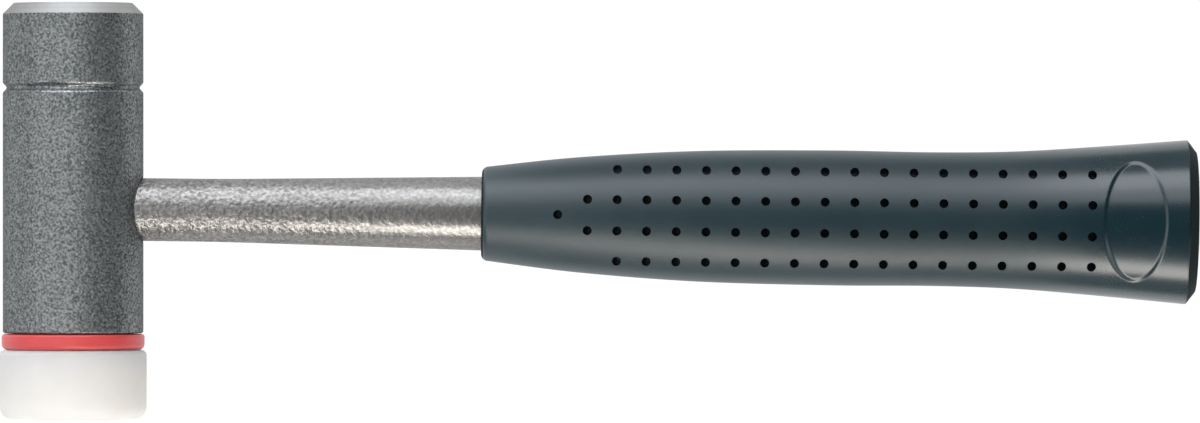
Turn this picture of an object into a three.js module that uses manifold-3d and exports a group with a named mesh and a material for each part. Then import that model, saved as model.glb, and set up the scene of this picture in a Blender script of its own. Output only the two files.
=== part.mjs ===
// A combination hammer: a turned steel head with a steel striking face at one end and a
// replaceable nylon face at the other, on a swaged steel tube with a perforated rubber grip.
//
// Millimetres, +Z up. The hammer lies on its side. The head's axis runs along Y with the steel
// face towards +Y, and the handle points along +X. The origin is on the surface that it lies on,
// under the middle of its box. Until it is placed there, everything is measured from the eye's
// centre, where the head's axis and the handle's axis cross.

import * as THREE from "three";
import { mergeVertices } from "three/addons/utils/BufferGeometryUtils.js";
import Module from "manifold-3d";

// Head: a steel bar, turned and then bored across for the handle.
const HEAD_DIAMETER = 34.4;
const STEEL_FACE_REACH = 50.35;
const FACE_CHAMFER = 2.65;
const GROOVE_REACH = 29.6;
const GROOVE_RADIUS = 1;
const RIM_REACH = 30.5;
const RIM_CHAMFER = 0.4;
const EYE_CHAMFER = 0.5;

// Nylon face: a thick disc with a spigot that is pushed through the ring into the head.
const INSERT_DIAMETER = 36;
const INSERT_THICKNESS = 16.7;
const INSERT_FACE_EDGE = 3;
const INSERT_SHOULDER_EDGE = 1.3;
const SPIGOT_DIAMETER = 19;
const SPIGOT_LENGTH = 17;
const SPIGOT_CHAMFER = 1.5;
const RELIEF_GROOVES = 3;
const RELIEF_PITCH = 3.2;
const RELIEF_DEPTH = 0.8;

// Ring: a flange between the head and the nylon face, with a sleeve that lines the head's mouth.
const RING_DIAMETER = 35;
const RING_THICKNESS = 3.9;
const RING_UPPER_EDGE = 0.7;
const RING_LOWER_EDGE = 1.5;
const RING_SLEEVE_LENGTH = 6;
const RING_SLEEVE_WALL = 2;

// Handle tube: drawn down to a neck at the head, with its end spread inside the eye.
const HANDLE_LEAN = THREE.MathUtils.degToRad(0.7);
const NECK_DIAMETER = 15.4;
const NECK_REACH = 36;
const TUBE_DIAMETER = 18.1;
const TUBE_WALL = 2;
const TUBE_SINK = 9;
const TUBE_SPREAD = 0.6;
const TUBE_SPREAD_LENGTH = 8;

// Plugs: one spreads the tube's end in the eye, one closes its cut end under the butt.
const EXPANDER_LENGTH = 13;
const EXPANDER_NOSE = 2;
const END_PLUG_CAP = 2.5;
const END_PLUG_STEM = 12;
const END_PLUG_LEAD = 1;

// Grip: reaches along the handle from its mouth, with the diameter at each station.
const GRIP_REACH = 100;
const GRIP_LENGTH = 174.8;
const GRIP_MOUTH_DIAMETER = 23.2;
const GRIP_MOUTH_EDGE = 1.7;
const GRIP_NECK_DIAMETER = 28.3;
const GRIP_NECK_AT = 24;
const GRIP_SHOULDER_DIAMETER = 32;
const GRIP_SHOULDER_AT = 53;
const GRIP_SWELL_DIAMETER = 33.05;
const GRIP_SWELL_AT = 85;
const GRIP_WAIST_DIAMETER = 32.75;
const GRIP_WAIST_AT = 110;
const GRIP_RISE_DIAMETER = 33.6;
const GRIP_RISE_AT = 130;
const GRIP_FLARE_DIAMETER = 36.4;
const GRIP_FLARE_AT = 150;
const GRIP_BUTT_DIAMETER = 40.2;
const GRIP_BUTT_BEVEL_LENGTH = 2.3;
const GRIP_BUTT_BEVEL_DEPTH = 3;
const GRIP_BUTT_WALL = 5;

// Grip holes: moulded by straight pins from both sides, so every hole runs along Z.
const HOLE_DIAMETER = 2.2;
const HOLE_DEPTH = 3;
const HOLE_PITCH = 7.225;
const HOLE_ROW_INNER = 3.82;
const HOLE_ROW_OUTER = 11.2;
const HOLES_FROM_MOUTH = 18.7;
const HOLES_FROM_BUTT = 25;

// Pad: a shallow oval recess on each side of the flare.
const PAD_FROM_BUTT = 15.5;
const PAD_LENGTH = 15;
const PAD_HEIGHT = 29;
const PAD_DEPTH = 0.4;

// Clearances: round a piece that slides or is pressed in, and between two seated faces.
const FIT = 0.3;
const SEAT = 0.2;

// Facets round each kind of piece.
const HEAD_SIDES = 48;
const TUBE_SIDES = 36;
const GRIP_SIDES = 40;
const HOLE_SIDES = 8;
const PAD_SIDES = 28;
const MERGE_DISTANCE = 1e-4;

// Places along the head's axis.
const headRadius = HEAD_DIAMETER / 2;
const ringTop = -RIM_REACH - SEAT;
const ringBottom = ringTop - RING_THICKNESS;
const shoulder = ringBottom - SEAT;
const nylonFace = shoulder - INSERT_THICKNESS;
const spigotTip = shoulder + SPIGOT_LENGTH;
const socketFloor = spigotTip + SEAT;
const sleeveTop = ringTop + RING_SLEEVE_LENGTH;
const spigotRadius = SPIGOT_DIAMETER / 2;
const socketRadius = spigotRadius + FIT;
const sleeveRadius = socketRadius + RING_SLEEVE_WALL;

// Places along the handle's axis.
const neckRadius = NECK_DIAMETER / 2;
const tubeRadius = TUBE_DIAMETER / 2;
const gripButt = GRIP_REACH + GRIP_LENGTH;
const gripFloor = gripButt - GRIP_BUTT_WALL;
const tubeEnd = gripFloor - SEAT - END_PLUG_CAP - SEAT;
const spreadEnd = -TUBE_SINK + TUBE_SPREAD_LENGTH;

const wasm = await Module();
wasm.setup();

// A closed geometry as a solid that can be joined and cut.
function solidOf(geometry) {
  const bare = geometry.clone();
  bare.deleteAttribute("normal");
  bare.deleteAttribute("uv");
  const merged = mergeVertices(bare, MERGE_DISTANCE);
  const vertProperties = merged.attributes.position.array;
  const triVerts = new Uint32Array(merged.index.array);
  return new wasm.Manifold(new wasm.Mesh({ numProp: 3, vertProperties, triVerts }));
}

// A solid as a geometry that can be drawn.
function geometryOf(solid) {
  const mesh = solid.getMesh();
  const geometry = new THREE.BufferGeometry();
  geometry.setAttribute("position", new THREE.BufferAttribute(mesh.vertProperties, 3));
  geometry.setIndex(new THREE.BufferAttribute(mesh.triVerts, 1));
  geometry.computeVertexNormals();
  return geometry;
}

// Turns a profile of radius and height round Y. Each arc of the profile gets 2 * arcSteps facets.
function turned(profile, sides, arcSteps = 2) {
  return new THREE.LatheGeometry(profile.getPoints(arcSteps), sides);
}

// The profile of a tube's outer face along the handle, widened by a clearance.
function neckProfile(profile, clearance) {
  return profile
    .lineTo(neckRadius + TUBE_SPREAD + clearance, -TUBE_SINK)
    .lineTo(neckRadius + clearance, spreadEnd);
}

// Places a geometry that was turned round Y along the handle's axis.
function alongHandle(geometry) {
  return geometry.rotateZ(-Math.PI / 2 - HANDLE_LEAN);
}

// The blind eye follows the tube's spread end, and opens with a small chamfer at the surface.
function eyeSolid() {
  const eyeRadius = neckRadius + FIT;
  const mouth = headRadius * Math.cos(Math.asin(eyeRadius / headRadius));
  const beyond = headRadius + EYE_CHAMFER;
  const profile = new THREE.Path()
    .moveTo(0, -TUBE_SINK - SEAT)
    .lineTo(neckRadius + TUBE_SPREAD + FIT, -TUBE_SINK - SEAT);
  neckProfile(profile, FIT)
    .lineTo(eyeRadius, mouth)
    .lineTo(eyeRadius + EYE_CHAMFER, beyond)
    .lineTo(0, beyond);
  return solidOf(alongHandle(turned(profile, TUBE_SIDES)));
}

function headGeometry() {
  const mouthRadius = sleeveRadius + FIT;
  const mouthFloor = sleeveTop + SEAT;
  const profile = new THREE.Path()
    .moveTo(0, socketFloor)
    .lineTo(socketRadius, socketFloor)
    .lineTo(socketRadius, mouthFloor)
    .lineTo(mouthRadius, mouthFloor)
    .lineTo(mouthRadius, -RIM_REACH)
    .lineTo(headRadius - RIM_CHAMFER, -RIM_REACH)
    .lineTo(headRadius, -RIM_REACH + RIM_CHAMFER)
    .lineTo(headRadius, GROOVE_REACH - GROOVE_RADIUS)
    .absarc(headRadius, GROOVE_REACH, GROOVE_RADIUS, -Math.PI / 2, Math.PI / 2, true)
    .lineTo(headRadius, STEEL_FACE_REACH - FACE_CHAMFER)
    .lineTo(headRadius - FACE_CHAMFER, STEEL_FACE_REACH)
    .lineTo(0, STEEL_FACE_REACH);
  return geometryOf(solidOf(turned(profile, HEAD_SIDES)).subtract(eyeSolid()));
}

function ringGeometry() {
  const radius = RING_DIAMETER / 2;
  const lower = RING_LOWER_EDGE;
  const upper = RING_UPPER_EDGE;
  const profile = new THREE.Path()
    .moveTo(socketRadius, ringBottom)
    .lineTo(radius - lower, ringBottom)
    .absarc(radius - lower, ringBottom + lower, lower, -Math.PI / 2, 0)
    .absarc(radius - upper, ringTop - upper, upper, 0, Math.PI / 2)
    .lineTo(sleeveRadius, ringTop)
    .lineTo(sleeveRadius, sleeveTop)
    .lineTo(socketRadius, sleeveTop)
    .lineTo(socketRadius, ringBottom);
  return turned(profile, HEAD_SIDES);
}

// The spigot's V-shaped relief grooves let air and swarf out as the nylon face is pushed home.
function insertGeometry() {
  const radius = INSERT_DIAMETER / 2;
  const face = INSERT_FACE_EDGE;
  const edge = INSERT_SHOULDER_EDGE;
  const profile = new THREE.Path()
    .moveTo(0, nylonFace)
    .lineTo(radius - face, nylonFace)
    .absarc(radius - face, nylonFace + face, face, -Math.PI / 2, 0)
    .absarc(radius - edge, shoulder - edge, edge, 0, Math.PI / 2)
    .lineTo(spigotRadius, shoulder);
  for (let groove = RELIEF_GROOVES; groove >= 1; groove -= 1) {
    const bottom = spigotTip - SPIGOT_CHAMFER - groove * RELIEF_PITCH;
    profile.lineTo(spigotRadius, bottom - RELIEF_DEPTH);
    profile.lineTo(spigotRadius - RELIEF_DEPTH, bottom);
    profile.lineTo(spigotRadius, bottom + RELIEF_DEPTH);
  }
  profile
    .lineTo(spigotRadius, spigotTip - SPIGOT_CHAMFER)
    .lineTo(spigotRadius - SPIGOT_CHAMFER, spigotTip)
    .lineTo(0, spigotTip);
  return turned(profile, HEAD_SIDES);
}

// The wall keeps its thickness where the tube is spread and where it is drawn down.
function tubeGeometry() {
  const profile = new THREE.Path()
    .moveTo(neckRadius + TUBE_SPREAD - TUBE_WALL, -TUBE_SINK);
  neckProfile(profile, 0)
    .lineTo(neckRadius, NECK_REACH)
    .lineTo(tubeRadius, GRIP_REACH)
    .lineTo(tubeRadius, tubeEnd)
    .lineTo(tubeRadius - TUBE_WALL, tubeEnd)
    .lineTo(tubeRadius - TUBE_WALL, GRIP_REACH)
    .lineTo(neckRadius - TUBE_WALL, NECK_REACH)
    .lineTo(neckRadius - TUBE_WALL, spreadEnd)
    .lineTo(neckRadius + TUBE_SPREAD - TUBE_WALL, -TUBE_SINK);
  return turned(profile, TUBE_SIDES);
}

// The expander's taper matches the tube's spread end, and its nose leads it into the bore.
function expanderGeometry() {
  const boreRadius = neckRadius - TUBE_WALL - FIT;
  const tip = -TUBE_SINK + EXPANDER_LENGTH;
  const profile = new THREE.Path()
    .moveTo(0, -TUBE_SINK)
    .lineTo(boreRadius + TUBE_SPREAD, -TUBE_SINK)
    .lineTo(boreRadius, spreadEnd)
    .lineTo(boreRadius, tip - EXPANDER_NOSE)
    .lineTo(boreRadius - EXPANDER_NOSE, tip)
    .lineTo(0, tip);
  return turned(profile, TUBE_SIDES);
}

function endPlugGeometry() {
  const stemRadius = tubeRadius - TUBE_WALL - FIT;
  const capBottom = tubeEnd + SEAT;
  const stemTip = capBottom - END_PLUG_STEM;
  const profile = new THREE.Path()
    .moveTo(0, stemTip)
    .lineTo(stemRadius - END_PLUG_LEAD, stemTip)
    .lineTo(stemRadius, stemTip + END_PLUG_LEAD)
    .lineTo(stemRadius, capBottom)
    .lineTo(tubeRadius, capBottom)
    .lineTo(tubeRadius, gripFloor - SEAT)
    .lineTo(0, gripFloor - SEAT);
  return turned(profile, TUBE_SIDES);
}

// The grip's outline, from its mouth over the swell and the waist to the flared butt.
function gripOutline() {
  const stations = [
    [GRIP_NECK_AT, GRIP_NECK_DIAMETER],
    [GRIP_SHOULDER_AT, GRIP_SHOULDER_DIAMETER],
    [GRIP_SWELL_AT, GRIP_SWELL_DIAMETER],
    [GRIP_WAIST_AT, GRIP_WAIST_DIAMETER],
    [GRIP_RISE_AT, GRIP_RISE_DIAMETER],
    [GRIP_FLARE_AT, GRIP_FLARE_DIAMETER],
    [GRIP_LENGTH - GRIP_BUTT_BEVEL_LENGTH, GRIP_BUTT_DIAMETER],
  ];
  return stations.map(([at, diameter]) => new THREE.Vector2(diameter / 2, GRIP_REACH + at));
}

function gripProfile() {
  const boreRadius = tubeRadius + FIT;
  const mouth = GRIP_MOUTH_DIAMETER / 2 - GRIP_MOUTH_EDGE;
  const butt = GRIP_BUTT_DIAMETER / 2 - GRIP_BUTT_BEVEL_DEPTH;
  return new THREE.Path()
    .moveTo(0, gripFloor)
    .lineTo(boreRadius, gripFloor)
    .lineTo(boreRadius, GRIP_REACH)
    .lineTo(mouth, GRIP_REACH)
    .absarc(mouth, GRIP_REACH + GRIP_MOUTH_EDGE, GRIP_MOUTH_EDGE, -Math.PI / 2, 0)
    .splineThru(gripOutline())
    .lineTo(butt, gripButt)
    .lineTo(0, gripButt);
}

// The grip's outer radius at a place along the handle.
function gripRadiusAt(outline, at) {
  const next = outline.findIndex((point) => point.y >= at && point.x > tubeRadius + FIT);
  const [from, to] = [outline[next - 1], outline[next]];
  return THREE.MathUtils.mapLinear(at, from.y, to.y, from.x, to.x);
}

// Offsets of the holes across the grip: the rows come in one, two and four at a time.
function holeRows(column) {
  if (column === 0) {
    return [0];
  }
  if (column === 1) {
    return [-HOLE_ROW_INNER, HOLE_ROW_INNER];
  }
  return [-HOLE_ROW_OUTER, -HOLE_ROW_INNER, HOLE_ROW_INNER, HOLE_ROW_OUTER];
}

// One moulding pin, standing along Z from the hole's floor to clear of the grip.
function holePin(across, along, radius, side) {
  const surface = Math.sqrt(radius ** 2 - across ** 2);
  const length = 2 * HOLE_DEPTH;
  const pin = new THREE.CylinderGeometry(HOLE_DIAMETER / 2, HOLE_DIAMETER / 2, length, HOLE_SIDES);
  pin.rotateX(Math.PI / 2);
  pin.translate(across, along, side * (surface - HOLE_DEPTH + length / 2));
  return solidOf(pin);
}

function holePins(outline) {
  const room = GRIP_LENGTH - HOLES_FROM_MOUTH - HOLES_FROM_BUTT;
  const columns = Math.floor(room / HOLE_PITCH) + 1;
  const pins = [];
  for (let column = 0; column < columns; column += 1) {
    const along = GRIP_REACH + HOLES_FROM_MOUTH + column * HOLE_PITCH;
    const radius = gripRadiusAt(outline, along);
    for (const across of holeRows(column)) {
      pins.push(holePin(across, along, radius, 1), holePin(across, along, radius, -1));
    }
  }
  return wasm.Manifold.union(pins);
}

// The oval pads: what an oval bar along Z leaves outside a grip that is thinner by their depth.
function padSolid(outline) {
  const bar = new THREE.CylinderGeometry(1, 1, 2 * GRIP_BUTT_DIAMETER, PAD_SIDES);
  bar.rotateX(Math.PI / 2);
  bar.scale(PAD_HEIGHT / 2, PAD_LENGTH / 2, 1);
  bar.translate(0, gripButt - PAD_FROM_BUTT, 0);
  const core = outline.map((point) => new THREE.Vector2(Math.max(point.x - PAD_DEPTH, 0), point.y));
  const start = core.findIndex((point) => point.y > GRIP_REACH);
  const thinned = [new THREE.Vector2(0, core[start].y), ...core.slice(start)];
  return solidOf(bar).subtract(solidOf(new THREE.LatheGeometry(thinned, GRIP_SIDES)));
}

function gripGeometry() {
  const outline = gripProfile().getPoints(2);
  const sleeve = solidOf(new THREE.LatheGeometry(outline, GRIP_SIDES));
  return geometryOf(sleeve.subtract(holePins(outline)).subtract(padSolid(outline)));
}

function paint(color, roughness, metalness) {
  return new THREE.MeshStandardMaterial({ color, roughness, metalness });
}

function piece(name, geometry, material) {
  const mesh = new THREE.Mesh(geometry, material);
  mesh.name = name;
  return mesh;
}

const handle = new THREE.Group();
handle.rotation.z = -Math.PI / 2 - HANDLE_LEAN;
handle.add(
  piece("handle_tube", tubeGeometry(), paint(0x9a9894, 0.4, 0.7)),
  piece("expander_plug", expanderGeometry(), paint(0x8d8f92, 0.35, 1)),
  piece("tube_end_plug", endPlugGeometry(), paint(0x2b2d2f, 0.6, 0)),
  piece("grip", gripGeometry(), paint(0x33434c, 0.55, 0)),
);

const hammer = new THREE.Group();
hammer.add(
  piece("head", headGeometry(), paint(0x6e7271, 0.45, 0.6)),
  piece("insert_ring", ringGeometry(), paint(0xd85a5c, 0.4, 0)),
  piece("nylon_insert", insertGeometry(), paint(0xefebe6, 0.45, 0)),
  handle,
);

// Stands the hammer on the surface with the middle of its box over the origin.
const box = new THREE.Box3().setFromObject(hammer, true);
const middle = box.getCenter(new THREE.Vector3());
hammer.position.set(-middle.x, -middle.y, -box.min.z);

const part = new THREE.Group();
part.add(hammer);

export default part;
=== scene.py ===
import math

import bpy
from mathutils import Matrix, Vector


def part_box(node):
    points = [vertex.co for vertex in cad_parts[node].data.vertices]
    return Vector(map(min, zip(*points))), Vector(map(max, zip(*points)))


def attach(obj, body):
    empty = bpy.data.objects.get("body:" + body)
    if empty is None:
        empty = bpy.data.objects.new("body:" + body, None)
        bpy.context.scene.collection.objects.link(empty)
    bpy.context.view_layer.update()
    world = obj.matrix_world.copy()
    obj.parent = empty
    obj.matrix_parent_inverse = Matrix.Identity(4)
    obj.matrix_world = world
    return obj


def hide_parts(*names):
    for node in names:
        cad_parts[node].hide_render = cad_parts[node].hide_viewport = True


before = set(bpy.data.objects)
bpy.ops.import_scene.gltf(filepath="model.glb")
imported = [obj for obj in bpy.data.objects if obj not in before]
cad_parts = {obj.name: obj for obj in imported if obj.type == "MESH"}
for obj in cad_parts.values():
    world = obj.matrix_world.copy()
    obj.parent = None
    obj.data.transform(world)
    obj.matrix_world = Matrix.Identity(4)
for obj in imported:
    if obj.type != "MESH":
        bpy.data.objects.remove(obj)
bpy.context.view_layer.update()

# Camera
# The photograph looks straight down on the hammer from far away, with the head at the left.
# The picture's middle lies beside the eye, where the head's axis and the handle's axis cross.
MM = 0.001
FACE_REACH = 50.35 * MM
PICTURE_WIDTH = 293.8 * MM
PICTURE_MIDDLE = Vector((129.0 * MM, -0.7 * MM, 0))
CAMERA_DISTANCE = 2400 * MM
SENSOR_WIDTH = 36

head_low, head_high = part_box("head")
eye = (head_low + head_high) / 2
eye.y = head_high.y - FACE_REACH

bpy.ops.object.camera_add(location=eye + PICTURE_MIDDLE + Vector((0, 0, CAMERA_DISTANCE)))
camera = bpy.context.object
camera.name = "camera"
camera.data.sensor_width = SENSOR_WIDTH
camera.data.lens = SENSOR_WIDTH * CAMERA_DISTANCE / PICTURE_WIDTH
camera.data.clip_end = 20
bpy.context.scene.camera = camera

# Head
# A bar of tool steel, turned to shape, bored across for the handle and bored at one end for the
# nylon face's spigot. It is sprayed with dark grey hammer-finish paint, and the striking face
# and its chamfer are then ground bare.
FACE_CHAMFER = 2.65 * MM
GROOVE_REACH = 29.6 * MM
GROOVE_DEPTH = 0.9 * MM
GROOVE_HALF_WIDTH = 1.4 * MM
GROOVE_STEPS = 24
RIM_CHAMFER = 0.4 * MM
SOCKET_RADIUS = 9.8 * MM
MOUTH_RADIUS = 12.1 * MM
SEAT = 0.2 * MM
EYE_RADIUS = 7.8 * MM
EYE_SPREAD = 0.6 * MM
EYE_SPREAD_LENGTH = 8 * MM
EYE_DEPTH = 9.2 * MM
EYE_CHAMFER = 0.5 * MM
HANDLE_LEAN = math.radians(0.7)
HEAD_STEPS = 128
SMOOTH_ANGLE = math.radians(30)

ring_low, ring_high = (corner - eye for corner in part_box("insert_ring"))
nylon_low, nylon_high = (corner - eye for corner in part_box("nylon_insert"))
head_radius = (head_high.x - head_low.x) / 2
head_rim = head_low.y - eye.y
head_axis = Vector((0, 1, 0))
handle_axis = Vector((math.cos(HANDLE_LEAN), -math.sin(HANDLE_LEAN), 0))


def rounded(corners):
    """The points of a profile whose corners are (radius, distance along the axis, rounding)."""
    points = []
    for number, (radius, along, rounding) in enumerate(corners):
        corner = Vector((radius, along))
        if rounding == 0:
            points.append(corner)
            continue
        back = (Vector(corners[number - 1][:2]) - corner).normalized()
        ahead = (Vector(corners[number + 1][:2]) - corner).normalized()
        half = back.angle(ahead) / 2
        centre = corner + (back + ahead).normalized() * rounding / math.sin(half)
        start = corner + back * rounding / math.tan(half) - centre
        end = corner + ahead * rounding / math.tan(half) - centre
        facets = min(2 + round(rounding / (0.3 * MM)), 10)
        for facet in range(facets + 1):
            points.append(centre + start.slerp(end, facet / facets) * rounding)
    return points


def turned(name, points, axis, steps):
    """A piece turned on a lathe: its profile, drawn point by point, spins round an axis through the eye."""
    bpy.ops.object.select_all(action="DESELECT")
    bpy.ops.mesh.primitive_plane_add(size=MM, location=(0, 0, 0))
    piece = bpy.context.object
    piece.name = piece.data.name = name
    bpy.ops.object.mode_set(mode="EDIT")
    bpy.ops.mesh.select_all(action="SELECT")
    bpy.ops.mesh.merge(type="CENTER")
    up = Vector((0, 0, 1))
    places = [eye + up * point.x + axis * point.y for point in points]
    bpy.ops.transform.translate(value=places[0])
    for last, place in zip(places, places[1:]):
        bpy.ops.mesh.extrude_region_move(TRANSFORM_OT_translate={"value": place - last})
    bpy.ops.mesh.select_all(action="SELECT")
    bpy.ops.mesh.spin(steps=steps, angle=2 * math.pi, center=eye, axis=axis)
    bpy.ops.mesh.select_all(action="SELECT")
    bpy.ops.mesh.remove_doubles(threshold=MM / 100)
    bpy.ops.mesh.normals_make_consistent(inside=False)
    bpy.ops.object.mode_set(mode="OBJECT")
    return piece


def carve(piece, cutter):
    """Cuts one solid out of another and takes the cutter away."""
    bpy.ops.object.select_all(action="DESELECT")
    piece.select_set(True)
    bpy.context.view_layer.objects.active = piece
    cut = piece.modifiers.new("cut", "BOOLEAN")
    cut.operation = "DIFFERENCE"
    cut.solver = "MANIFOLD"
    cut.object = cutter
    bpy.ops.object.modifier_apply(modifier=cut.name)
    bpy.data.objects.remove(cutter)


def smoothed(piece):
    """Shades round forms smooth, with the broad faces ruling over the narrow ones at each edge."""
    bpy.ops.object.select_all(action="DESELECT")
    piece.select_set(True)
    bpy.context.view_layer.objects.active = piece
    bpy.ops.object.shade_smooth_by_angle(angle=SMOOTH_ANGLE)
    even = piece.modifiers.new("even", "WEIGHTED_NORMAL")
    even.keep_sharp = True
    bpy.ops.object.modifier_apply(modifier=even.name)


class Value:
    """Something that changes over a surface. Its operators add Math nodes to its finish."""

    def __init__(self, finish, socket):
        self.finish = finish
        self.socket = socket

    def maths(self, operation, left, right):
        return self.finish.node("ShaderNodeMath", {"operation": operation}, {0: left, 1: right})

    def __add__(self, other):
        return self.maths("ADD", self, other)

    def __radd__(self, other):
        return self.maths("ADD", other, self)

    def __sub__(self, other):
        return self.maths("SUBTRACT", self, other)

    def __rsub__(self, other):
        return self.maths("SUBTRACT", other, self)

    def __mul__(self, other):
        return self.maths("MULTIPLY", self, other)

    def __rmul__(self, other):
        return self.maths("MULTIPLY", other, self)


class Finish:
    """A procedural finish: a material, its shader and the nodes that feed it."""

    def __init__(self, name):
        self.material = bpy.data.materials.new(name)
        self.material.use_nodes = True
        self.tree = self.material.node_tree
        self.shader = self.tree.nodes["Principled BSDF"]

    def node(self, kind, settings, inputs, output=0):
        node = self.tree.nodes.new(kind)
        for name, value in settings.items():
            setattr(node, name, value)
        for name, value in inputs.items():
            self.feed(node.inputs[name], value)
        return Value(self, node.outputs[output])

    def feed(self, socket, value):
        if isinstance(value, Value):
            self.tree.links.new(value.socket, socket)
        else:
            socket.default_value = value

    def shade(self, **inputs):
        for name, value in inputs.items():
            self.feed(self.shader.inputs[name.replace("_", " ")], value)

    def place(self):
        return self.node("ShaderNodeTexCoord", {}, {}, "Object")

    def from_eye(self):
        subtract = {"operation": "SUBTRACT"}
        return self.node("ShaderNodeVectorMath", subtract, {0: self.place(), 1: eye})

    def along(self, axis):
        project = {"operation": "DOT_PRODUCT"}
        return self.node("ShaderNodeVectorMath", project, {0: self.from_eye(), 1: axis}, "Value")

    def noise(self, place, size, detail=2.0):
        settings = {"Vector": place, "Scale": 1 / size, "Detail": detail}
        return self.node("ShaderNodeTexNoise", {}, settings, "Fac")

    def ramp(self, value, low, high):
        return self.node(
            "ShaderNodeMapRange",
            {"clamp": True, "interpolation_type": "SMOOTHSTEP"},
            {"Value": value, "From Min": low, "From Max": high},
        )

    def blend(self, factor, first, second):
        colors = {"Factor": factor, 6: first, 7: second}
        return self.node("ShaderNodeMix", {"data_type": "RGBA"}, colors, 2)

    def bump(self, height, distance):
        return self.node("ShaderNodeBump", {}, {"Height": height, "Distance": distance, "Strength": 1})


def hammer_finish(name, dark, light, metallic, roughness, edge, cell, relief, calm=None):
    """Paint that draws up into small cells as it dries, with metal flakes gathered in each.
    From one distance along the handle to another it may calm down and lie smoother."""
    finish = Finish(name)
    place = finish.place()
    drift = finish.node(
        "ShaderNodeTexNoise", {}, {"Vector": place, "Scale": 0.6 / cell, "Detail": 1.0}, "Color"
    )
    swirled = finish.node(
        "ShaderNodeVectorMath",
        {"operation": "MULTIPLY_ADD"},
        {0: drift, 1: (cell, cell, cell), 2: place},
    )
    cells = finish.node(
        "ShaderNodeTexVoronoi",
        {"feature": "SMOOTH_F1"},
        {"Vector": swirled, "Scale": 1 / cell, "Smoothness": 0.8},
        "Distance",
    )
    flakes = finish.noise(place, 0.6 * cell, 1.0)
    cloud = finish.noise(place, 6 * cell)
    height = cells * 0.7 + flakes * 0.8
    fleck = 2.9 * (flakes - 0.5) + 0.5 * (cells - 0.45)
    dullness = roughness + 0.2 * (0.5 - flakes)
    if calm:
        smoother = finish.ramp(finish.along(handle_axis), *calm)
        height = height * (1 - 0.75 * smoother)
        fleck = fleck * (1 - 0.5 * smoother)
        dullness = dullness - 0.08 * smoother
    finish.shade(
        Base_Color=finish.blend(0.5 + fleck + 0.3 * (cloud - 0.5), dark, light),
        Metallic=metallic,
        Roughness=dullness,
        Specular_Tint=edge,
        Normal=finish.bump(height, relief),
    )
    return finish.material


def bare_steel(name):
    """Ground steel: fine rings left by the wheel round the head's axis."""
    finish = Finish(name)
    flatten = {"operation": "MULTIPLY"}
    across = finish.node("ShaderNodeVectorMath", flatten, {0: finish.from_eye(), 1: (1, 0, 1)})
    radius = finish.node("ShaderNodeVectorMath", {"operation": "LENGTH"}, {0: across}, "Value")
    one_way = {"noise_dimensions": "1D"}
    rings = finish.node("ShaderNodeTexNoise", one_way, {"W": radius, "Scale": 3500, "Detail": 4.0}, "Fac")
    smear = finish.noise(finish.place(), 5 * MM)
    tone = 0.5 + 1.2 * (rings - 0.5) + 0.5 * (smear - 0.5)
    finish.shade(
        Base_Color=finish.blend(tone, (0.33, 0.33, 0.33, 1), (0.46, 0.46, 0.46, 1)),
        Metallic=1.0,
        Roughness=0.40 + 0.14 * rings,
        Specular_Tint=(0.5, 0.5, 0.5, 1),
        Normal=finish.bump(rings, 0.005 * MM),
    )
    return finish.material


def head_piece():
    socket_floor = nylon_high.y + SEAT
    mouth_floor = ring_high.y + SEAT
    groove = []
    for step in range(1, GROOVE_STEPS):
        along = 2 * step / GROOVE_STEPS - 1
        depth = GROOVE_DEPTH * (1 + math.cos(math.pi * along)) / 2
        groove.append((head_radius - depth, GROOVE_REACH + GROOVE_HALF_WIDTH * along, 0))
    corners = [
        (0, socket_floor, 0),
        (SOCKET_RADIUS, socket_floor, 0.5 * MM),
        (SOCKET_RADIUS, mouth_floor, 0),
        (MOUTH_RADIUS, mouth_floor, 0.3 * MM),
        (MOUTH_RADIUS, head_rim, 0),
        (head_radius - RIM_CHAMFER, head_rim, 0.1 * MM),
        (head_radius, head_rim + RIM_CHAMFER, 0.2 * MM),
        (head_radius, GROOVE_REACH - GROOVE_HALF_WIDTH, 0),
        *groove,
        (head_radius, GROOVE_REACH + GROOVE_HALF_WIDTH, 0),
        (head_radius, FACE_REACH - FACE_CHAMFER, 0.1 * MM),
        (head_radius - FACE_CHAMFER, FACE_REACH, 0.25 * MM),
        (0, FACE_REACH, 0),
    ]
    return turned("head_steel", rounded(corners), head_axis, HEAD_STEPS)


def eye_cutter():
    corners = [
        (0, -EYE_DEPTH, 0),
        (EYE_RADIUS + EYE_SPREAD, -EYE_DEPTH, 0),
        (EYE_RADIUS, EYE_SPREAD_LENGTH - EYE_DEPTH, 0),
        (EYE_RADIUS, math.sqrt(head_radius**2 - EYE_RADIUS**2), 0),
        (EYE_RADIUS + EYE_CHAMFER, head_radius + EYE_CHAMFER, 0),
        (0, head_radius + EYE_CHAMFER, 0),
    ]
    return turned("eye_cutter", rounded(corners), handle_axis, HEAD_STEPS)


def finish_head(piece):
    """Paint covers the outside and lies smooth in the groove. The striking end, socket and eye are bare."""
    dark = (0.100, 0.114, 0.118, 1)
    light = (0.340, 0.348, 0.347, 1)
    edge = (0.28, 0.28, 0.28, 1)
    cell = 0.95 * MM
    piece.data.materials.clear()
    for material in (
        hammer_finish("dark_hammer_finish", dark, light, 0.86, 0.45, edge, cell, relief=0.18 * MM),
        hammer_finish("pooled_paint", dark, light, 0.86, 0.34, edge, cell, relief=0.05 * MM),
        bare_steel("ground_steel"),
    ):
        piece.data.materials.append(material)
    for face in piece.data.polygons:
        offset = face.center - eye
        radius = math.hypot(offset.x, offset.z)
        face.material_index = 0
        if abs(offset.y - GROOVE_REACH) < GROOVE_HALF_WIDTH:
            face.material_index = 1
        if radius < head_radius - GROOVE_DEPTH - RIM_CHAMFER or offset.y > FACE_REACH - FACE_CHAMFER:
            face.material_index = 2


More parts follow.
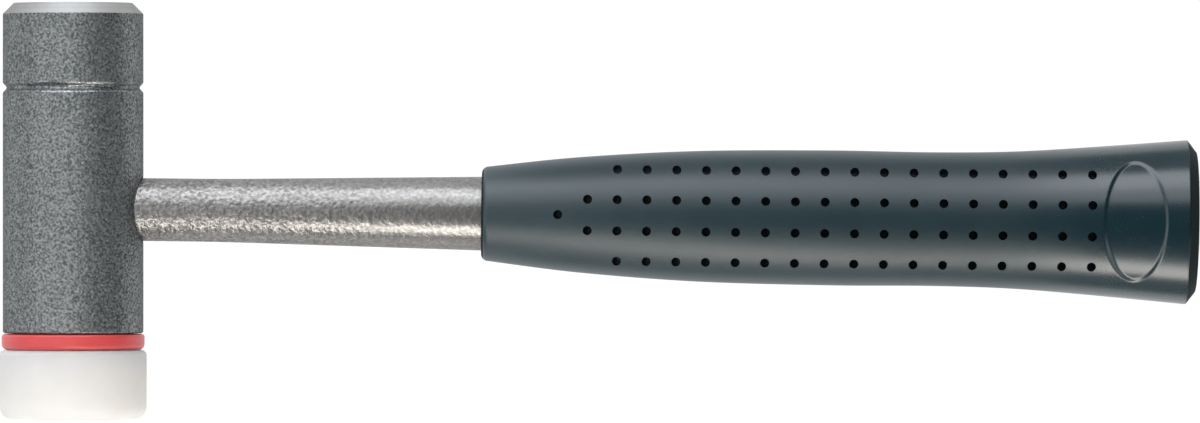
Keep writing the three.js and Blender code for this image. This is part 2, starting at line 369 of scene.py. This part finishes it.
head = head_piece()
carve(head, eye_cutter())
smoothed(head)
finish_head(head)
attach(head, "hammer")
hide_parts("head")

# Red ring
# A moulded plastic collar. Its sleeve lines the head's mouth, and its rounded flange keeps the
# nylon face off the steel rim.
RING_UPPER_EDGE = 0.7 * MM
RING_LOWER_EDGE = 1.5 * MM
SLEEVE_LENGTH = 6 * MM
SLEEVE_RADIUS = 11.8 * MM

ring_radius = (ring_high.x - ring_low.x) / 2
ring_top = ring_high.y - SLEEVE_LENGTH
sleeve_top = ring_high.y
ring_bottom = ring_low.y


def red_plastic():
    finish = Finish("red_plastic")
    place = finish.place()
    cloud = finish.noise(place, 3 * MM)
    grain = finish.noise(place, 0.25 * MM)
    finish.shade(
        Base_Color=finish.blend(cloud, (0.62, 0.066, 0.068, 1), (0.68, 0.081, 0.082, 1)),
        Roughness=0.34 + 0.12 * grain,
        Subsurface_Weight=0.15,
        Subsurface_Radius=(1.0, 0.25, 0.2),
        Subsurface_Scale=1.0 * MM,
        Normal=finish.bump(grain, 0.006 * MM),
    )
    return finish.material


ring_corners = [
    (SOCKET_RADIUS, ring_bottom, 0),
    (ring_radius, ring_bottom, RING_LOWER_EDGE),
    (ring_radius, ring_top, RING_UPPER_EDGE),
    (SLEEVE_RADIUS, ring_top, 0),
    (SLEEVE_RADIUS, sleeve_top, 0.3 * MM),
    (SOCKET_RADIUS, sleeve_top, 0.3 * MM),
    (SOCKET_RADIUS, ring_bottom, 0),
]
ring = turned("red_ring", rounded(ring_corners), head_axis, HEAD_STEPS)
smoothed(ring)
ring.data.materials.append(red_plastic())
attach(ring, "ring")
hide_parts("insert_ring")

# Nylon face
# A thick disc of cast nylon, turned with a rounded striking edge. Its spigot is a push fit
# through the ring into the head, with three relief grooves that let the air out.
NYLON_FACE_EDGE = 3 * MM
NYLON_SHOULDER_EDGE = 1.3 * MM
SPIGOT_RADIUS = 9.5 * MM
SPIGOT_CHAMFER = 1.5 * MM
RELIEF_GROOVES = 3
RELIEF_PITCH = 3.2 * MM
RELIEF_DEPTH = 0.8 * MM

nylon_radius = (nylon_high.x - nylon_low.x) / 2
nylon_shoulder = ring_bottom - 0.02 * MM


def nylon():
    finish = Finish("white_nylon")
    place = finish.place()
    cloud = finish.noise(place, 6 * MM)
    grain = finish.noise(place, 0.4 * MM)
    finish.shade(
        Base_Color=finish.blend(cloud, (0.705, 0.685, 0.665, 1), (0.765, 0.751, 0.734, 1)),
        Roughness=0.52 + 0.12 * grain,
        Specular_IOR_Level=0.3,
        Subsurface_Weight=1.0,
        Subsurface_Radius=(1.0, 0.9, 0.8),
        Subsurface_Scale=18 * MM,
        Normal=finish.bump(grain, 0.01 * MM),
    )
    return finish.material


def nylon_corners():
    face = nylon_low.y
    tip = nylon_high.y
    grooves = []
    for groove in range(RELIEF_GROOVES, 0, -1):
        bottom = tip - SPIGOT_CHAMFER - groove * RELIEF_PITCH
        grooves.append((SPIGOT_RADIUS, bottom - RELIEF_DEPTH, 0.1 * MM))
        grooves.append((SPIGOT_RADIUS - RELIEF_DEPTH, bottom, 0.2 * MM))
        grooves.append((SPIGOT_RADIUS, bottom + RELIEF_DEPTH, 0.1 * MM))
    return [
        (0, face, 0),
        (nylon_radius, face, NYLON_FACE_EDGE),
        (nylon_radius, nylon_shoulder, NYLON_SHOULDER_EDGE),
        (SPIGOT_RADIUS, nylon_shoulder, 0.3 * MM),
        *grooves,
        (SPIGOT_RADIUS, tip - SPIGOT_CHAMFER, 0.2 * MM),
        (SPIGOT_RADIUS - SPIGOT_CHAMFER, tip, 0.2 * MM),
        (0, tip, 0),
    ]


nylon_face = turned("nylon_face", rounded(nylon_corners()), head_axis, HEAD_STEPS)
smoothed(nylon_face)
nylon_face.data.materials.append(nylon())
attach(nylon_face, "insert")
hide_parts("nylon_insert")

# Handle tube
# Seamless steel tube, drawn down to a slimmer neck and sprayed with silver hammer-finish paint.
# Its end is spread inside the head's blind eye, and the grip covers its thick end.
NECK_RADIUS = 7.7 * MM
NECK_REACH = 36 * MM
TUBE_RADIUS = 9.05 * MM
TUBE_WALL = 2 * MM
TUBE_SINK = 9 * MM
TUBE_SPREAD = 0.6 * MM
TUBE_END = 266.9 * MM
GRIP_REACH = 100 * MM
TUBE_STEPS = 96

spread_end = EYE_SPREAD_LENGTH - TUBE_SINK
tube_corners = [
    (NECK_RADIUS + TUBE_SPREAD - TUBE_WALL, -TUBE_SINK, 0),
    (NECK_RADIUS + TUBE_SPREAD, -TUBE_SINK, 0.3 * MM),
    (NECK_RADIUS, spread_end, 20 * MM),
    (NECK_RADIUS, NECK_REACH, 900 * MM),
    (TUBE_RADIUS, GRIP_REACH, 200 * MM),
    (TUBE_RADIUS, TUBE_END, 0.3 * MM),
    (TUBE_RADIUS - TUBE_WALL, TUBE_END, 0.3 * MM),
    (TUBE_RADIUS - TUBE_WALL, GRIP_REACH, 0),
    (NECK_RADIUS - TUBE_WALL, NECK_REACH, 0),
    (NECK_RADIUS - TUBE_WALL, spread_end, 0),
    (NECK_RADIUS + TUBE_SPREAD - TUBE_WALL, -TUBE_SINK, 0),
]
tube = turned("tube", rounded(tube_corners), handle_axis, TUBE_STEPS)
smoothed(tube)
tube.data.materials.append(
    hammer_finish(
        "silver_hammer_finish",
        dark=(0.178, 0.172, 0.168, 1),
        light=(0.325, 0.316, 0.308, 1),
        metallic=0.8,
        roughness=0.37,
        edge=(0.6, 0.6, 0.6, 1),
        cell=1.45 * MM,
        relief=0.22 * MM,
        calm=(35 * MM, 95 * MM),
    )
)
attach(tube, "hammer")
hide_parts("handle_tube")

# Plugs
# The expander is a turned steel taper that spreads the tube in the eye. The end plug is a moulded
# cap in the tube's cut end. Both are sealed in, and keep the shape that the frame gives them.


def turned_steel():
    finish = Finish("turned_steel")
    grain = finish.noise(finish.place(), 0.5 * MM)
    finish.shade(
        Base_Color=finish.blend(grain, (0.42, 0.42, 0.42, 1), (0.55, 0.55, 0.55, 1)),
        Metallic=1.0,
        Roughness=0.35 + 0.15 * grain,
    )
    return finish.material


def black_plastic():
    finish = Finish("black_plastic")
    grain = finish.noise(finish.place(), 0.5 * MM)
    finish.shade(
        Base_Color=finish.blend(grain, (0.025, 0.025, 0.026, 1), (0.040, 0.040, 0.042, 1)),
        Roughness=0.5 + 0.15 * grain,
    )
    return finish.material


for node, material in (("expander_plug", turned_steel()), ("tube_end_plug", black_plastic())):
    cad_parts[node].data.materials.clear()
    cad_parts[node].data.materials.append(material)

# Grip
# A sleeve of blue-grey rubber, moulded over the tube. The mould opens up and down, so its pins
# leave rows of blind holes that all run the same way on both sides. The butt flares out, with a
# bare oval pad pressed into each side, and ends in a bevelled flat.
GRIP_LENGTH = 174.8 * MM
GRIP_BORE = TUBE_RADIUS + 0.05 * MM
GRIP_FLOOR = 269.8 * MM
MOUTH_EDGE = 1.7 * MM
# The narrow band at the mouth's lip that gets the painted shade.
PAINTED_LIP_SHADE = 0.5 * MM
BEVEL_LENGTH = 2.3 * MM
BEVEL_DEPTH = 3 * MM
GRIP_STATIONS = [
    (11.6 * MM, MOUTH_EDGE),
    (14.15 * MM, 24 * MM),
    (16.0 * MM, 53 * MM),
    (16.525 * MM, 85 * MM),
    (16.375 * MM, 110 * MM),
    (16.8 * MM, 130 * MM),
    (18.2 * MM, 150 * MM),
    (20.1 * MM, GRIP_LENGTH - BEVEL_LENGTH),
]
RING_SPACING = 1.2 * MM
FLARE_SPACING = 0.3 * MM
GRIP_STEPS = 288
HOLE_RADIUS = 1.1 * MM
HOLE_DEPTH = 3 * MM
HOLE_PITCH = 7.225 * MM
HOLE_COLUMNS = 19
FIRST_HOLE = 118.7 * MM
ROW_INNER = 3.82 * MM
ROW_OUTER = 11.2 * MM
PAD_FROM_BUTT = 15.5 * MM
PAD_LENGTH = 15 * MM
PAD_HEIGHT = 29 * MM
PAD_DEPTH = 0.4 * MM
PAD_EDGE = 0.8 * MM

grip_butt = GRIP_REACH + GRIP_LENGTH
aside = Vector((0, 0, 1)).cross(handle_axis)


def flowing(stations):
    """Points of a smooth curve that passes each station the way its two neighbours lie."""
    points = []
    last = len(stations) - 1
    for number in range(last):
        ends = [stations[max(min(number + shift, last), 0)] for shift in (-1, 0, 1, 2)]
        before, start, end, after = (Vector(place) for place in ends)
        leave = (end - before) / 2
        arrive = (after - start) / 2
        spacing = FLARE_SPACING if number == last - 1 else RING_SPACING
        steps = round((end.y - start.y) / spacing)
        for step in range(steps):
            t = step / steps
            points.append(
                start * (2 * t**3 - 3 * t**2 + 1)
                + leave * (t**3 - 2 * t**2 + t)
                + end * (3 * t**2 - 2 * t**3)
                + arrive * (t**3 - t**2)
            )
    points.append(Vector(stations[last]))
    return points


grip_side = flowing([(radius, GRIP_REACH + along) for radius, along in GRIP_STATIONS])


def grip_radius(along):
    for low, high in zip(grip_side, grip_side[1:]):
        if low.y <= along <= high.y:
            return low.x + (high.x - low.x) * (along - low.y) / (high.y - low.y)
    return 0


def grip_profile():
    mouth = grip_side[0]
    butt = grip_side[-1]
    opening = [
        (0, GRIP_FLOOR, 0),
        (GRIP_BORE, GRIP_FLOOR, 0),
        (GRIP_BORE, GRIP_REACH, 0.2 * MM),
        (mouth.x, GRIP_REACH, MOUTH_EDGE),
        (mouth.x, mouth.y + MM, 0),
    ]
    ending = [
        (butt.x, butt.y, 0.5 * MM),
        (butt.x - BEVEL_DEPTH, grip_butt, 0.5 * MM),
        (0, grip_butt, 0),
    ]
    before_butt = grip_side[-2]
    closing = rounded([(before_butt.x, before_butt.y, 0), *ending])
    return rounded(opening)[:-1] + grip_side[1:-1] + closing[1:]


def press_pads(piece):
    """Sinks a soft-edged oval into both sides of the flare."""
    group = piece.vertex_groups.new(name="pads")
    for vertex in piece.data.vertices:
        offset = vertex.co - eye
        along = (offset.dot(handle_axis) - (grip_butt - PAD_FROM_BUTT)) / (PAD_LENGTH / 2)
        across = offset.dot(aside) / (PAD_HEIGHT / 2)
        oval = math.hypot(along, across)
        steepness = math.hypot(along / (PAD_LENGTH / 2), across / (PAD_HEIGHT / 2)) / max(oval, 0.01)
        inside = 0.5 - (oval - 1) / (steepness * PAD_EDGE) if steepness else 1
        if inside > 0 and math.hypot(offset.dot(aside), offset.z) > GRIP_BORE + MM:
            t = min(inside, 1)
            group.add([vertex.index], t * t * (3 - 2 * t), "REPLACE")
    bpy.context.view_layer.objects.active = piece
    sink = piece.modifiers.new("pads", "DISPLACE")
    sink.vertex_group = group.name
    sink.strength = -PAD_DEPTH
    sink.mid_level = 0
    bpy.ops.object.modifier_apply(modifier=sink.name)
    piece.vertex_groups.clear()


def hole_rows(column):
    if column == 0:
        return [0]
    if column == 1:
        return [-ROW_INNER, ROW_INNER]
    return [-ROW_OUTER, -ROW_INNER, ROW_INNER, ROW_OUTER]


def moulding_pins():
    """One round-nosed pin, copied to every hole of the upper side and turned over for the lower."""
    bpy.ops.object.select_all(action="DESELECT")
    bpy.ops.mesh.primitive_cylinder_add(vertices=20, radius=HOLE_RADIUS, depth=2 * HOLE_DEPTH)
    pin = bpy.context.object
    bpy.ops.object.mode_set(mode="EDIT")
    bpy.ops.mesh.select_all(action="DESELECT")
    bpy.ops.object.mode_set(mode="OBJECT")
    for edge in pin.data.edges:
        ends = [pin.data.vertices[number].co.z for number in edge.vertices]
        edge.select = max(ends) < 0
    bpy.ops.object.mode_set(mode="EDIT")
    bpy.ops.mesh.bevel(offset=HOLE_RADIUS / 2, segments=3)
    bpy.ops.object.mode_set(mode="OBJECT")
    pins = []
    for column in range(HOLE_COLUMNS):
        along = FIRST_HOLE + column * HOLE_PITCH
        for across in hole_rows(column):
            copy = pin.copy()
            copy.data = pin.data.copy()
            height = math.sqrt(grip_radius(along) ** 2 - across**2)
            copy.location = eye + handle_axis * along + aside * across + Vector((0, 0, height))
            bpy.context.collection.objects.link(copy)
            turned_over = copy.copy()
            turned_over.data = pin.data.copy()
            bpy.context.collection.objects.link(turned_over)
            turned_over.rotation_euler.x = math.pi
            turned_over.location.z = eye.z - height
            pins.extend((copy, turned_over))
    bpy.data.objects.remove(pin)
    bpy.ops.object.select_all(action="DESELECT")
    for copy in pins:
        copy.select_set(True)
    bpy.context.view_layer.objects.active = pins[0]
    bpy.context.view_layer.update()
    bpy.ops.object.join()
    bpy.ops.object.transform_apply(location=True, rotation=True, scale=True)
    return bpy.context.object


def rubber():
    finish = Finish("blue_grey_rubber")
    place = finish.place()
    polish = finish.ramp(finish.along(handle_axis), GRIP_REACH + 120 * MM, grip_butt - PAD_FROM_BUTT)
    cloud = finish.noise(place, 8 * MM, 3.0)
    grain = finish.noise(place, 0.5 * MM)
    finish.shade(
        Base_Color=finish.blend(cloud, (0.0062, 0.0265, 0.036, 1), (0.010, 0.033, 0.043, 1)),
        Roughness=0.38 + 0.06 * cloud + 0.06 * grain - 0.18 * polish,
        Specular_IOR_Level=0.78,
        Normal=finish.bump(grain * (1 - 0.8 * polish), 0.025 * MM),
    )
    return finish.material


def matt_rubber_painted_dark():
    finish = Finish("matt_rubber_painted_dark")
    place = finish.place()
    cloud = finish.noise(place, 4 * MM, 4.0)
    grain = finish.noise(place, 0.5 * MM)
    finish.shade(
        # The darker colour is painted shade: a dark line at the mouth's lip and a dark butt bevel and end,
        # standing in for the dark reflection there.
        Base_Color=finish.blend(cloud, (0.003, 0.008, 0.010, 1), (0.010, 0.020, 0.024, 1)),
        Roughness=0.7 + 0.15 * grain,
        Specular_IOR_Level=0.2,
        Normal=finish.bump(grain, 0.03 * MM),
    )
    return finish.material


def paint_shade_on_lip_and_butt(piece):
    """The mouth's lip, the bevel and the flat end are left matt. Their darker colour is painted shade,
    standing in for the dark reflection along these edges.
    """
    for face in piece.data.polygons:
        along = (face.center - eye).dot(handle_axis)
        plain_rubber = GRIP_REACH + PAINTED_LIP_SHADE < along < grip_butt - BEVEL_LENGTH
        face.material_index = 0 if plain_rubber else 1


grip = turned("rubber_grip", grip_profile(), handle_axis, GRIP_STEPS)
press_pads(grip)
carve(grip, moulding_pins())
smoothed(grip)
grip.data.materials.clear()
grip.data.materials.append(rubber())
grip.data.materials.append(matt_rubber_painted_dark())
paint_shade_on_lip_and_butt(grip)
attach(grip, "hammer")
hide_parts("grip")

# Floor
# A plain white studio sheet, which the hammer lies on. It keeps the hammer's soft shadow, and
# looks white to the camera and in the metal.
FLOOR_SIZE = 60
FLOOR_DROP = 0.2 * MM
FLOOR_GLOW = 0.8

bpy.ops.object.select_all(action="DESELECT")
bpy.ops.mesh.primitive_plane_add(size=FLOOR_SIZE, location=(0, 0, -FLOOR_DROP))
floor = bpy.context.object
floor.name = "floor"


def studio_white():
    finish = Finish("studio_white")
    finish.shade(Base_Color=(0.86, 0.86, 0.86, 1), Roughness=0.9, Specular_IOR_Level=0.0)
    seen = finish.node("ShaderNodeLightPath", {}, {}, "Is Camera Ray")
    mirrored = finish.node("ShaderNodeLightPath", {}, {}, "Is Glossy Ray")
    through = finish.node("ShaderNodeLightPath", {}, {}, "Is Transmission Ray")
    glow = finish.node("ShaderNodeEmission", {}, {"Strength": 1.17})
    sheet = finish.node(
        "ShaderNodeMixShader",
        {},
        {0: (seen + mirrored + through) * FLOOR_GLOW, 1: Value(finish, finish.shader.outputs[0]), 2: glow},
    )
    finish.feed(finish.tree.nodes["Material Output"].inputs["Surface"], sheet)
    return finish.material


floor.data.materials.append(studio_white())

# Grey cards
# Two grey cards stand along the grip, just out of the picture, and draw the darker line along its
# edges. Only reflections show them.
UP_SIDE = Vector((0, 1, 0))
LOW_SIDE = Vector((0, -1, 0))
CARD_LENGTH = 190 * MM
CARD_THICKNESS = 2 * MM
CARD_ALONG = 195 * MM
CARD_AWAY = 60 * MM


def grey_card(name, towards, height):
    """A card that stands on the floor, facing the grip."""
    bpy.ops.object.select_all(action="DESELECT")
    foot = eye + handle_axis * CARD_ALONG + towards * CARD_AWAY
    size = (CARD_LENGTH, CARD_THICKNESS, height)
    bpy.ops.mesh.primitive_cube_add(size=1, location=(foot.x, foot.y, height / 2), scale=size)
    card = bpy.context.object
    card.name = name
    finish = Finish(name)
    fibres = finish.noise(finish.place(), 3 * MM)
    tone = finish.blend(fibres, (0.42, 0.42, 0.42, 1), (0.48, 0.48, 0.48, 1))
    finish.shade(Base_Color=tone, Roughness=0.9)
    card.data.materials.append(finish.material)
    card.visible_camera = False
    card.visible_diffuse = False
    card.visible_shadow = False


grey_card("upper_card", UP_SIDE, 45 * MM)
grey_card("lower_card", LOW_SIDE, 36 * MM)

# Light
# Six soft boxes. A cool pair beyond the steel face draws the upper streak along tube and grip, a
# warm strip beyond the nylon face the lower one. One hangs low over the head, and two fill the
# nylon's sides. It stays dark straight above the grip.
def soft_box(name, aim, towards, tilt, lean, distance, length, height, strength, color):
    """An even panel of light that faces the hammer. Its strength is the brightness of its face."""
    bpy.ops.object.select_all(action="DESELECT")
    out = towards * math.sin(tilt) + Vector((0, 0, 1)) * math.cos(tilt)
    bpy.ops.object.light_add(type="AREA", location=aim + out * distance)
    lamp = bpy.context.object
    lamp.name = name
    lamp.data.shape = "RECTANGLE"
    lamp.data.size = length
    lamp.data.size_y = height
    lamp.data.energy = strength * math.pi * length * height
    lamp.data.color = color
    lamp.visible_camera = False
    turn = towards.to_track_quat("Y", "Z").to_matrix().to_4x4()
    lamp.matrix_world = (
        Matrix.Translation(aim + out * distance)
        @ turn
        @ Matrix.Rotation(-tilt, 4, "X")
        @ Matrix.Rotation(lean, 4, "Z")
    )


HEAD_SIDE = Vector((-1, 0, 0))
LOW_LEFT = Vector((-1, -0.4, 0)).normalized()
LOW_RIGHT = Vector((1, -0.8, 0)).normalized()
COOL = (0.93, 0.96, 1.0)
WARM = (1.0, 0.96, 0.90)
WHITE = (1.0, 1.0, 1.0)
middle = eye + PICTURE_MIDDLE
soft_box("cool_box", eye + HEAD_SIDE * 0.25, UP_SIDE, math.radians(68), 0, 1.0, 1.4, 0.62, 3.7, COOL)
soft_box("cool_fill", middle, UP_SIDE, math.radians(40), 0, 1.0, 0.95, 0.4, 2.0, COOL)
soft_box("warm_box", middle, LOW_SIDE, math.radians(64), math.radians(-50), 0.5, 0.6, 0.14, 7.0, WARM)
soft_box("head_box", eye, HEAD_SIDE, math.radians(27), 0, 0.2, 0.4, 0.36, 0.80, WHITE)
soft_box("left_fill", eye, LOW_LEFT, math.radians(62), 0, 1.0, 0.6, 0.6, 0.80, WHITE)
soft_box("right_fill", eye, LOW_RIGHT, math.radians(64), 0, 1.0, 0.6, 0.6, 1.30, WHITE)

world = bpy.data.worlds.new("studio")
bpy.context.scene.world = world
world.use_nodes = True
world.node_tree.nodes["Background"].inputs["Color"].default_value = (0.7, 0.9, 1, 1)
world.node_tree.nodes["Background"].inputs["Strength"].default_value = 0.04

bpy.context.scene.view_settings.view_transform = "Standard"
